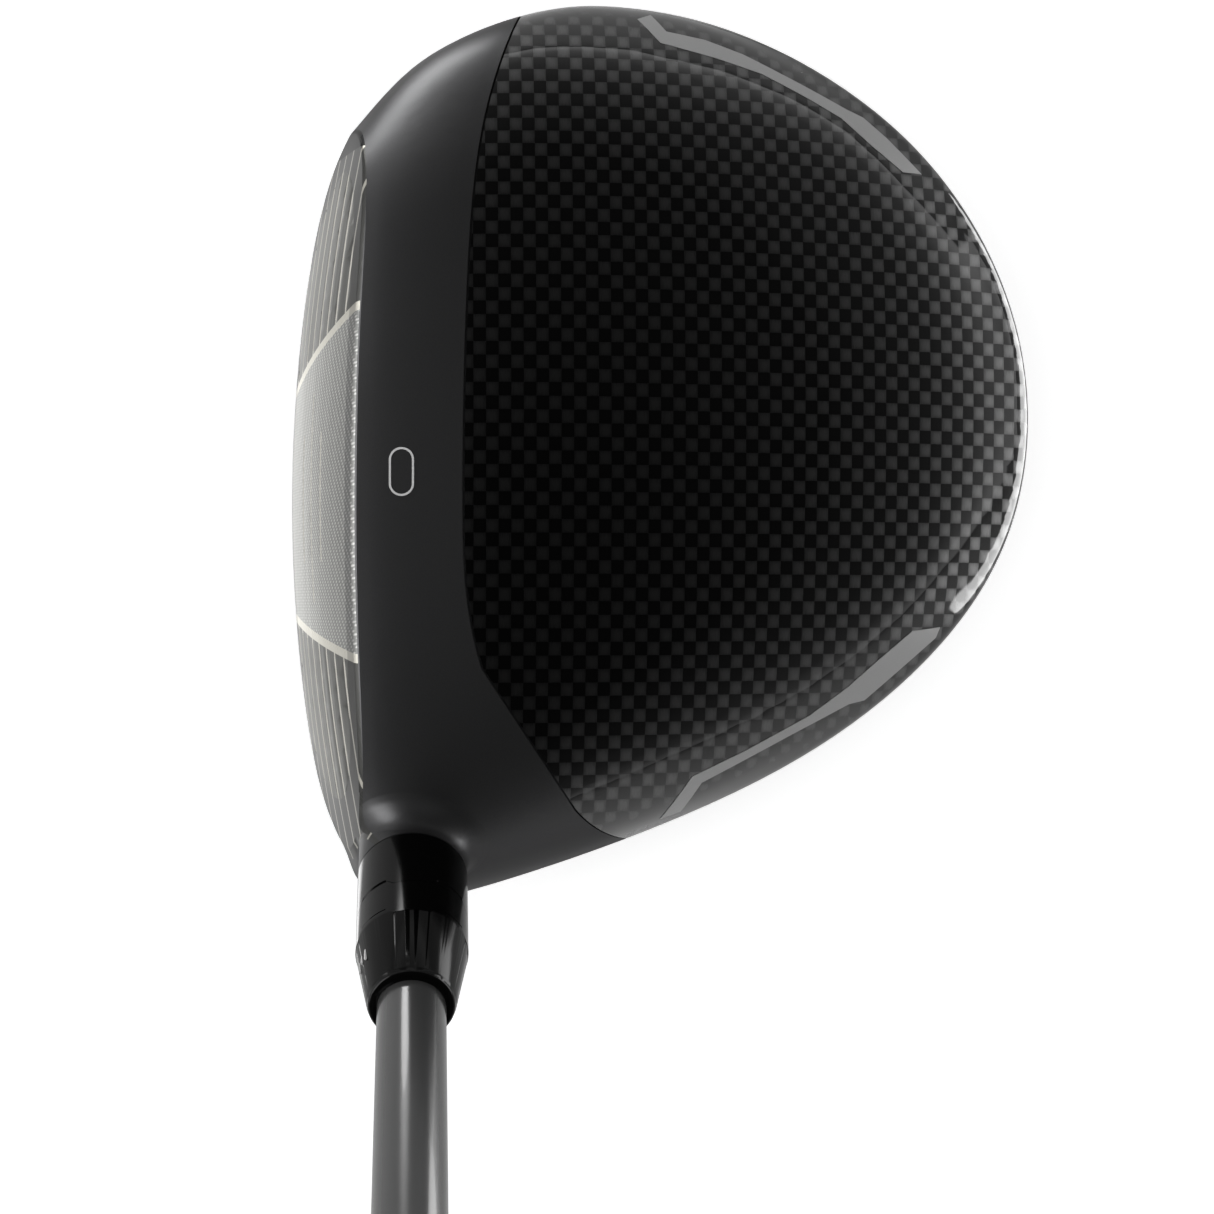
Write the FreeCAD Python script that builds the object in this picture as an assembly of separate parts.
import FreeCAD, Part
import math
import os

# Golf driver, right-handed, standing at address on flat ground.
# Frame: +Z up, -Y towards the target (face side), +X towards the golfer (heel and shaft),
# origin on the ground in the middle of the sole's flat landing pad. Units are millimetres.

Vec = FreeCAD.Vector

# ---- head skin: ribs from toe to heel at even steps of the half turn ----
toe_tip = Vec(-71.0, 13.6, 32.0)
heel_tip = Vec(58.0, -13.0, 26.0)
# front, back, sole, rim and crown of each rib
head_ribs = [
    (0.4, 28.6, 23.0, 32.6, 39.0),
    (-12.6, 43.8, 13.8, 33.0, 46.5),
    (-22.3, 57.8, 7.2, 33.0, 52.6),
    (-32.5, 68.3, 3.0, 32.6, 57.4),
    (-37.5, 74.5, 0.7, 32.0, 60.6),
    (-40.0, 75.7, -0.1, 31.0, 62.0),
    (-39.5, 70.9, 0.1, 30.4, 61.4),
    (-36.5, 58.8, 1.5, 29.6, 59.0),
    (-31.0, 40.2, 4.2, 28.8, 54.6),
    (-23.9, 17.4, 8.2, 27.8, 48.2),
    (-20.8, -1.5, 14.5, 26.8, 39.0),
]
crown_skew, crown_power = 0.33, 1.4
sole_skew, sole_power = 0.30, 0.95
rib_points = 24
end_handle = 0.337
pull_rounds = 12

# ---- head walls and seams ----
carbon_wall = 1.0
metal_wall = 1.4
lip_outer, lip_inner, lip_width = 1.05, 1.9, 7.0
seam_gap = 0.3
beyond_back = 110.0
rim_height, rim_tilt = 31.4, 2.4
crown_seam = [(-90, 12), (-68.4, 1.6), (-53.4, -3.2), (-30, -5.9), (2, -6.6), (13, -6.2), (24, -4.0)]
seam_straight_end = (44.0, 9.2)
seam_corner = (48.6, 13.2)
seam_rim_end = (49.6, 19.0)
sole_seam = [(-90, 4), (-40, 11), (0, 13), (30, 13), (49.6, 15.0)]

# ---- face ----
loft = math.radians(11.0)
face_radius = 255.0
face_middle = Vec(0, -28.5, 31.0)
face_titanium, face_polymer, face_carbon = 1.9, 0.4, 0.9
edge_roll, edge_spare = 2.6, 0.05
face_edge, backing_edge = 2.5, 6.0

# ---- shaft axis: all places are measured along it from the ground ----
lie_from_upright = 32.0
axis_foot = Vec(21.0, -13.35, 0)
collar_radius, tube_radius = 7.5, 7.0
hosel_base, hosel_top = 14.0, 60.0
hosel_blend = 4.0
bore_radius, bore_base = 5.75, 20.3
web_base, web_hole = 17.3, 2.8
port_radius, mouth_radius, mouth_depth = 4.6, 5.0, 12.0
sleeve_base, sleeve_radius = 24.0, 5.65
lower_cog_top, upper_cog_top = 69.9, 76.3
cog_radius, cog_bore, cog_gap, cog_break = 7.55, 5.75, 0.08, 0.25
tooth_count, tooth_rise, tooth_foot, tooth_tip = 4, 1.05, 3.5, 2.45
ferrule_top, ferrule_end_radius = 88.5, 5.75
foot_height, ferrule_bow = 1.3, Vec(7.0, 0, 83.0)
lip_radius, lip_middle = 0.45, Vec(5.62, 0, 88.36)
thread_radius, thread_top = 2.5, 34.0
shaft_base, shaft_top = 36.0, 1158.0
shaft_tip_radius, shaft_butt_radius, shaft_wall = 4.4, 7.6, 1.1

# ---- six-lobed driver sockets, as shares of the socket's radius ----
socket_core, socket_reach, socket_lobe = 0.78, 0.74, 0.26

# ---- hosel bolt ----
bolt_head_base, bolt_head_radius = 12.5, 4.2
washer_base, washer_radius = 16.5, 4.4
bolt_radius, bolt_tip = 2.45, 32.0
bolt_play, bolt_socket_radius, bolt_socket_depth = 0.15, 2.4, 3.2
retainer_base, retainer_height, retainer_radius = 20.6, 1.2, 4.0

# ---- grip ----
grip_base, cap_height = 888.0, 3.2
grip_mouth_radius, grip_butt_radius = 8.9, 13.3
tape_base, tape_thickness = 894.0, 0.3
vent_radius = 1.6


def spread(points, weights):
    total = Vec(0, 0, 0)
    for point, weight in zip(points, weights):
        total = total + point * weight
    return total


def rib_outline(rib, x, inset):
    # one closed rib: flattened ellipse with its crown and sole summits moved forward
    front, back, sole, rim, crown = rib
    half = (back - front) / 2 - inset
    outline = []
    for step in range(rib_points):
        turn = math.pi + 2 * math.pi * step / rib_points
        across, rise = math.cos(turn), math.sin(turn)
        if rise >= 0:
            skew, power, height = crown_skew, crown_power, crown - rim - inset
        else:
            skew, power, height = sole_skew, sole_power, sole - rim + inset
        y = (front + back) / 2 + half * (across - skew * (1 - across * across))
        outline.append(Vec(x, y, rim + height * abs(rise) ** power))
    return outline


def head_skin(inset):
    # smooth closed body through every rib, drawn in all round by the inset
    spans = len(head_ribs) + 1
    toe, heel = toe_tip + Vec(inset, 0, 0), heel_tip - Vec(inset, 0, 0)
    middle, half = (toe.x + heel.x) / 2, (heel.x - toe.x) / 2
    ribs = []
    for number, rib in enumerate(head_ribs):
        angle = math.pi * (number + 1) / spans
        ribs.append(rib_outline(rib, middle - half * math.cos(angle), inset * math.sin(angle) ** 0.5))
    toe_cap = [toe + Vec(0, p.y - toe.y, p.z - toe.z) * end_handle for p in ribs[0]]
    heel_cap = [heel + Vec(0, p.y - heel.y, p.z - heel.z) * end_handle for p in ribs[-1]]
    rows = [[toe] * rib_points, toe_cap] + [list(rib) for rib in ribs] + [heel_cap, [heel] * rib_points]
    # cubic spline weights along the head and around a rib; pull until the skin meets the ribs
    even = (1 / 6, 2 / 3, 1 / 6)
    weights = [even] * (spans - 1)
    weights[0], weights[-1] = (1 / 4, 7 / 12, 1 / 6), (1 / 6, 7 / 12, 1 / 4)
    for _ in range(pull_rounds):
        pulled = [list(row) for row in rows]
        for number, rib in enumerate(ribs):
            near = rows[number + 1:number + 4]
            line = [spread([row[j] for row in near], weights[number]) for j in range(rib_points)]
            for j in range(rib_points):
                meets = spread([line[j - 1], line[j], line[(j + 1) % rib_points]], even)
                pulled[number + 2][j] = rows[number + 2][j] + (rib[j] - meets)
        rows = pulled
    surface = Part.BSplineSurface()
    poles = [[row[j] for row in rows] for j in range(rib_points)]
    surface.buildFromPolesMultsKnots(
        poles, [1] * (rib_points + 1), [4] + [1] * (spans - 1) + [4],
        [float(k) for k in range(rib_points + 1)], [float(k) for k in range(spans + 1)], True, False, 3, 3)
    solid = Part.Solid(Part.Shell([surface.toShape()]))
    if solid.Volume < 0:
        solid.reverse()
    return solid


def on_axis(shape):
    # shapes of the shaft line are built along Z from the ground and then leaned over
    shape.Placement = FreeCAD.Placement(axis_foot, FreeCAD.Rotation(Vec(0, 1, 0), lie_from_upright))
    return shape


def rod(radius, low, high):
    return Part.makeCylinder(radius, high - low, Vec(0, 0, low))


def ring(outer, inner, low, high):
    return rod(outer, low, high).cut(rod(inner, low - 1, high + 1))


def turned(outline):
    # solid of revolution about Z from a closed outline of (radius, height) points
    points = [Vec(r, 0, z) for r, z in outline]
    return Part.Face(Part.makePolygon(points + points[:1])).revolve(Vec(0, 0, 0), Vec(0, 0, 1), 360)


def break_edges(shape, radius, size, low=-math.inf):
    # small chamfer on every full circle of the given radius that lies above the given height
    edges = []
    for edge in shape.Edges:
        if edge.Closed and isinstance(edge.Curve, Part.Circle) and edge.Curve.Center.z > low:
            if abs(edge.Curve.Radius - radius) < 1e-4:
                edges.append(edge)
    return shape.makeChamfer(size, edges)


def shaft_radius(place):
    share = (place - shaft_base) / (shaft_top - shaft_base)
    return shaft_tip_radius + (shaft_butt_radius - shaft_tip_radius) * share


def shaft_core(low, high, extra=0.0):
    return Part.makeCone(shaft_radius(low) + extra, shaft_radius(high) + extra, high - low, Vec(0, 0, low))


def teeth(place, spare):
    # trapezoid teeth standing on the plane at the given place, the first one facing up
    foot, tip = tooth_foot + spare, tooth_tip + spare
    low, high = place - 1, place + tooth_rise + spare
    points = [(-foot, low), (foot, low), (foot, place), (tip, high), (-tip, high), (-foot, place)]
    wire = Part.makePolygon([Vec(0, y, z) for y, z in points + points[:1]])
    one = Part.Face(wire).extrude(Vec(-2 * cog_radius, 0, 0))
    row = []
    for number in range(tooth_count):
        tooth = one.copy()
        tooth.rotate(Vec(0, 0, 0), Vec(0, 0, 1), 360 / tooth_count * number)
        row.append(tooth)
    return row[0].multiFuse(row[1:])


def socket(radius, low, high):
    star = rod(radius * socket_core, low, high)
    reach = radius * socket_reach
    for lobe in range(6):
        angle = math.radians(60 * lobe)
        cutter = rod(radius * socket_lobe, low, high)
        cutter.translate(Vec(reach * math.cos(angle), reach * math.sin(angle), 0))
        star = star.fuse(cutter)
    return star


def behind_seam(curve, shift, low=-20.0, high=90.0):
    # upright block of everything behind a seam, the seam moved back by the shift
    start, end = curve[0].Vertexes[0].Point, curve[-1].Vertexes[-1].Point
    sides = [end, Vec(end.x, beyond_back, 0), Vec(start.x, beyond_back, 0), start]
    wire = Part.Wire(curve + Part.makePolygon(sides).Edges)
    block = Part.Face(wire).extrude(Vec(0, 0, high - low))
    block.translate(Vec(0, shift, low))
    return block


def curve_through(points):
    line = Part.BSplineCurve()
    line.interpolate([Vec(x, y, 0) for x, y in points])
    return line.toShape()


def crown_seam_curve():
    straight = Part.makeLine(Vec(*crown_seam[-1], 0), Vec(*seam_straight_end, 0))
    corner = Part.BezierCurve()
    corner.setPoles([Vec(*p, 0) for p in (seam_straight_end, seam_corner, seam_rim_end)])
    along_rim = Part.makeLine(Vec(*seam_rim_end, 0), Vec(seam_rim_end[0] + 1.0, 60, 0))
    return [curve_through(crown_seam), straight, corner.toShape(), along_rim]


def above_rim(lift):
    # everything above the slightly tilted rim plane, which is lower towards the heel
    box = Part.makeBox(300, 300, 100, Vec(-150, -150, 0))
    box.rotate(Vec(0, 0, 0), Vec(0, 1, 0), rim_tilt)
    box.translate(Vec(0, 0, rim_height + lift))
    return box


def face_ball(depth):
    middle = face_middle + Vec(0, math.cos(loft), -math.sin(loft)) * face_radius
    return Part.makeSphere(face_radius - depth, middle)


def save(name, shape):
    solids = shape.Solids
    shape = solids[0] if len(solids) == 1 else Part.makeCompound(solids)
    print(name, "solids", len(solids), "valid", shape.isValid(), "volume", round(shape.Volume, 1))
    shape.exportStep("parts/" + name + ".step")


def outer_head():
    # skin with the hosel collar blended in, cut to the face's bulge and the landing pad
    collar = on_axis(rod(collar_radius, hosel_base, hosel_top))
    whole = head_skin(0).fuse(collar)
    joint_edges = []
    for face in whole.Faces:
        if isinstance(face.Surface, Part.Cylinder):
            joint_edges += [e for e in face.Edges if isinstance(e.Curve, Part.BSplineCurve)]
    blended = whole.makeFillet(hosel_blend, joint_edges)
    # the same skin with a rolled face edge, a hair larger so that only its rounding bites
    rolled = head_skin(-edge_spare).common(face_ball(-edge_spare))
    rim = [face for face in rolled.Faces if isinstance(face.Surface, Part.Sphere)][0].Edges
    rolled = rolled.makeFillet(edge_roll, rim)
    neck = on_axis(rod(collar_radius + hosel_blend + 0.1, hosel_base, hosel_top + 1))
    ground = Part.makeBox(300, 300, 200, Vec(-150, -150, 0))
    return blended.common(face_ball(0).fuse(collar)).common(rolled.fuse(neck)).common(ground)


def cavity(inset, face_depth):
    hollow = head_skin(inset).common(face_ball(face_depth))
    return hollow.cut(on_axis(rod(tube_radius, -20, hosel_top)))


def inner_lip(zone):
    return head_skin(lip_outer).cut(head_skin(lip_inner)).common(zone)


# ---- screw-in weights: places are depths below the skin along the port's own axis ----
weights = {
    "rear": {"from": Vec(0, 40, 24), "lean": 40.0, "radius": 7.4, "height": 6.4},
    "front": {"from": Vec(-13, -8, 20), "lean": -6.0, "radius": 6.0, "height": 5.0},
}
weight_recess, weight_gap, seal_height = 0.9, 0.15, 0.5
weight_chamfer, head_sink, head_play, shank_play = 0.5, 0.2, 0.1, 0.1
port_wall, port_floor, port_rise, boss_radius = 1.5, 1.6, 6.0, 3.6
screw_head_radius, screw_head_height, screw_shank, screw_thread = 3.4, 2.4, 1.95, 5.0
screw_chamfer, screw_socket_radius, screw_socket_floor, tip_play = 0.3, 2.1, 0.8, 1.5
seal_inset, seal_play, thread_play = 0.1, 0.6, 0.05


def port_frame(weight, skin):
    # outward axis of the port and the point where it leaves the skin
    lean = math.radians(weight["lean"])
    outward = Vec(0, math.sin(lean), -math.cos(lean))
    ray = Part.makeLine(weight["from"], weight["from"] + outward * 80).common(skin)
    ends = [v.Point for v in ray.Vertexes]
    mouth = max(ends, key=lambda p: (p - weight["from"]).Length)
    return FreeCAD.Placement(mouth, FreeCAD.Rotation(Vec(0, 0, -1), outward))


def weight_pieces(weight):
    # heights are negative outwards of the mouth and positive into the head
    radius, top = weight["radius"], weight_recess + weight["height"]
    floor = top + seal_height
    boss_floor, boss_end = floor + port_floor, floor + port_floor + screw_thread
    wall_radius = radius + weight_gap + port_wall
    body = rod(wall_radius, -port_rise, boss_floor).fuse(rod(boss_radius, floor, boss_end))
    hole = rod(screw_shank + thread_play, 0, boss_end - 1)
    port = body.cut(rod(radius + weight_gap, -port_rise, floor)).cut(hole)
    screw_seat = weight_recess + screw_head_height + head_sink
    slug = break_edges(rod(radius, weight_recess, top), radius, weight_chamfer)
    slug = slug.cut(rod(screw_head_radius + head_play, 0, screw_seat))
    slug = slug.cut(rod(screw_shank + shank_play, 0, top + 1))
    head = rod(screw_head_radius, weight_recess + head_sink, screw_seat)
    head = break_edges(head, screw_head_radius, screw_chamfer)
    shank = rod(screw_shank, screw_seat, boss_end - tip_play)
    screw = head.fuse(shank).cut(socket(screw_socket_radius, 0, screw_seat - screw_socket_floor))
    seal = ring(radius - seal_inset, screw_shank + seal_play, top + seal_inset / 2, floor)
    room = rod(wall_radius, -2 * port_rise, boss_floor)
    return {"port": port, "weight": slug, "screw": screw, "seal": seal, "room": room}


os.makedirs("parts", exist_ok=True)

outer = outer_head()
seam = crown_seam_curve()
sole_corner = Vec(*sole_seam[-1], 0)
lower_seam = [curve_through(sole_seam), Part.makeLine(sole_corner, Vec(sole_corner.x + 1.0, 60, 0))]

ports = {}
rooms = []
for name, weight in weights.items():
    placement = port_frame(weight, outer)
    pieces = weight_pieces(weight)
    for piece in pieces.values():
        piece.Placement = placement
    pieces["port"] = pieces["port"].common(outer)
    ports[name] = pieces
    rooms.append(pieces["room"])

bolt_room = on_axis(rod(bore_radius, bore_base, hosel_top + 1))
web_room = on_axis(rod(web_hole, web_base - 1, bore_base + 1))
port_room = on_axis(rod(port_radius, 0, web_base))
mouth_room = on_axis(rod(mouth_radius, -20, mouth_depth))
drillings = [bolt_room, web_room, port_room, mouth_room] + rooms

metal_depth = face_titanium + face_polymer + face_carbon
metal_shell = outer.cut(cavity(metal_wall, metal_depth)).cut(drillings)
carbon_shell = outer.cut(cavity(carbon_wall, metal_depth)).cut(drillings)

crown_zone = behind_seam(seam, 0).common(above_rim(0))
sole_zone = behind_seam(lower_seam, 0).cut(above_rim(0))
crown_room = behind_seam(seam, seam_gap).common(above_rim(seam_gap / 2))

crown_lip = inner_lip(behind_seam(seam, -2.5).cut(behind_seam(seam, lip_width)).common(above_rim(1)))
rim_lip = inner_lip(behind_seam(seam, lip_width + 1).common(above_rim(-2.5)).cut(above_rim(5)))

collar_zone = on_axis(rod(collar_radius + 1.0, hosel_base, hosel_top + 1))
face_core = head_skin(face_edge).cut(collar_zone)
backing_core = head_skin(backing_edge).cut(collar_zone)
face_plate = face_core.common(face_ball(0)).cut(face_ball(face_titanium))
polymer = backing_core.common(face_ball(face_titanium)).cut(face_ball(face_titanium + face_polymer))
backing = backing_core.common(face_ball(face_titanium + face_polymer)).cut(face_ball(metal_depth))

front_body = metal_shell.cut([crown_zone, sole_zone, face_plate, polymer, backing]).fuse(crown_lip)
save("front_body", front_body)
save("crown_panel", carbon_shell.common(crown_room))
save("sole_shell", metal_shell.common(sole_zone).fuse(rim_lip))
save("face_plate", face_plate)
save("face_polymer_layer", polymer)
save("face_carbon_backing", backing)

for name, pieces in ports.items():
    save(name + "_weight_port", pieces["port"])
    save(name + "_weight", pieces["weight"])
    save(name + "_weight_screw", pieces["screw"])
    save(name + "_weight_seal", pieces["seal"])

# hosel bolt, its washer and the retaining ring that keeps it in the head
bolt = rod(bolt_head_radius, bolt_head_base, washer_base).fuse(rod(bolt_radius, washer_base, bolt_tip))
bolt_socket = socket(bolt_socket_radius, bolt_head_base - 1, bolt_head_base + bolt_socket_depth)
bolt = break_edges(bolt, bolt_head_radius, 0.4).cut(bolt_socket)
save("hosel_bolt", on_axis(break_edges(bolt, bolt_radius, 0.3, web_base)))
save("bolt_washer", on_axis(ring(washer_radius, bolt_radius + bolt_play, washer_base, web_base)))
retainer = ring(retainer_radius, bolt_radius, retainer_base, retainer_base + retainer_height)
save("bolt_retainer", on_axis(retainer))

# shaft adapter: sleeve with the upper cog, and the loose lower cog between it and the collar
upper_cog = ring(cog_radius, sleeve_radius - 1, lower_cog_top + cog_gap, upper_cog_top)
upper_teeth = teeth(upper_cog_top, 0).common(ring(cog_radius, sleeve_radius, upper_cog_top - 0.5, ferrule_top))
lower_notches = ring(cog_radius + 1, cog_bore, lower_cog_top - 1, upper_cog_top)
sleeve = break_edges(rod(sleeve_radius, sleeve_base, upper_cog_top).fuse(upper_cog), cog_radius, cog_break)
sleeve = sleeve.fuse(upper_teeth).cut(teeth(lower_cog_top, cog_gap).common(lower_notches))
sleeve = sleeve.cut([rod(thread_radius, sleeve_base - 1, thread_top), shaft_core(shaft_base, ferrule_top)])
sleeve = sleeve.cut(rod(shaft_tip_radius - 1, thread_top, shaft_base))
save("adapter_sleeve", on_axis(sleeve))

cog = ring(cog_radius, cog_bore, hosel_top + cog_gap, lower_cog_top)
cog = break_edges(cog, cog_radius, cog_break)
cog = cog.fuse(teeth(lower_cog_top, 0).common(ring(cog_radius, cog_bore, lower_cog_top - 0.5, upper_cog_top)))
save("lower_cog", on_axis(cog))

# ferrule: short straight foot, bowed taper and a rounded lip at the shaft
lip_start = Vec(ferrule_end_radius, 0, ferrule_top - lip_radius)
lip_end = Vec(ferrule_end_radius - lip_radius, 0, ferrule_top)
bow = Part.Arc(Vec(cog_radius, 0, upper_cog_top + foot_height), ferrule_bow, lip_start).toShape()
lip = Part.Arc(lip_start, lip_middle, lip_end).toShape()
core = shaft_tip_radius - 0.4
flank = [Vec(core, 0, ferrule_top), Vec(core, 0, upper_cog_top), Vec(cog_radius, 0, upper_cog_top)]
rest = Part.makePolygon([lip.Vertexes[-1].Point] + flank + [bow.Vertexes[0].Point]).Edges
ferrule = Part.Face(Part.Wire([bow, lip] + rest)).revolve(Vec(0, 0, 0), Vec(0, 0, 1), 360)
ferrule = ferrule.cut(shaft_core(upper_cog_top - 5, ferrule_top + 5)).cut(teeth(upper_cog_top, 0))
save("ferrule", on_axis(ferrule))

shaft = shaft_core(shaft_base, shaft_top).cut(shaft_core(shaft_base, shaft_top, -shaft_wall))
save("shaft", on_axis(shaft))
plug = shaft_core(shaft_base + 1, shaft_base + 13, -shaft_wall)
save("tip_plug", on_axis(plug))

tape = shaft_core(tape_base, shaft_top, tape_thickness).cut(shaft_core(tape_base, shaft_top))
save("grip_tape", on_axis(tape))
mouth = shaft_radius(grip_base)
grip_outline = [(mouth - 1, grip_base), (grip_mouth_radius - 0.5, grip_base),
                (grip_mouth_radius, grip_base + 1.5), (grip_butt_radius, shaft_top - 10),
                (grip_butt_radius, shaft_top), (mouth - 1, shaft_top)]
hold = shaft_core(grip_base - 5, tape_base).fuse(shaft_core(tape_base, shaft_top + 5, tape_thickness))
grip = turned(grip_outline).cut(hold)
save("grip", on_axis(grip))
cap_top = shaft_top + cap_height
cap_outline = [(vent_radius, shaft_top), (grip_butt_radius, shaft_top),
               (grip_butt_radius, shaft_top + 1.2), (grip_butt_radius - 0.8, cap_top - 0.6),
               (grip_butt_radius - 2.4, cap_top), (vent_radius, cap_top)]
save("grip_cap", on_axis(turned(cap_outline)))
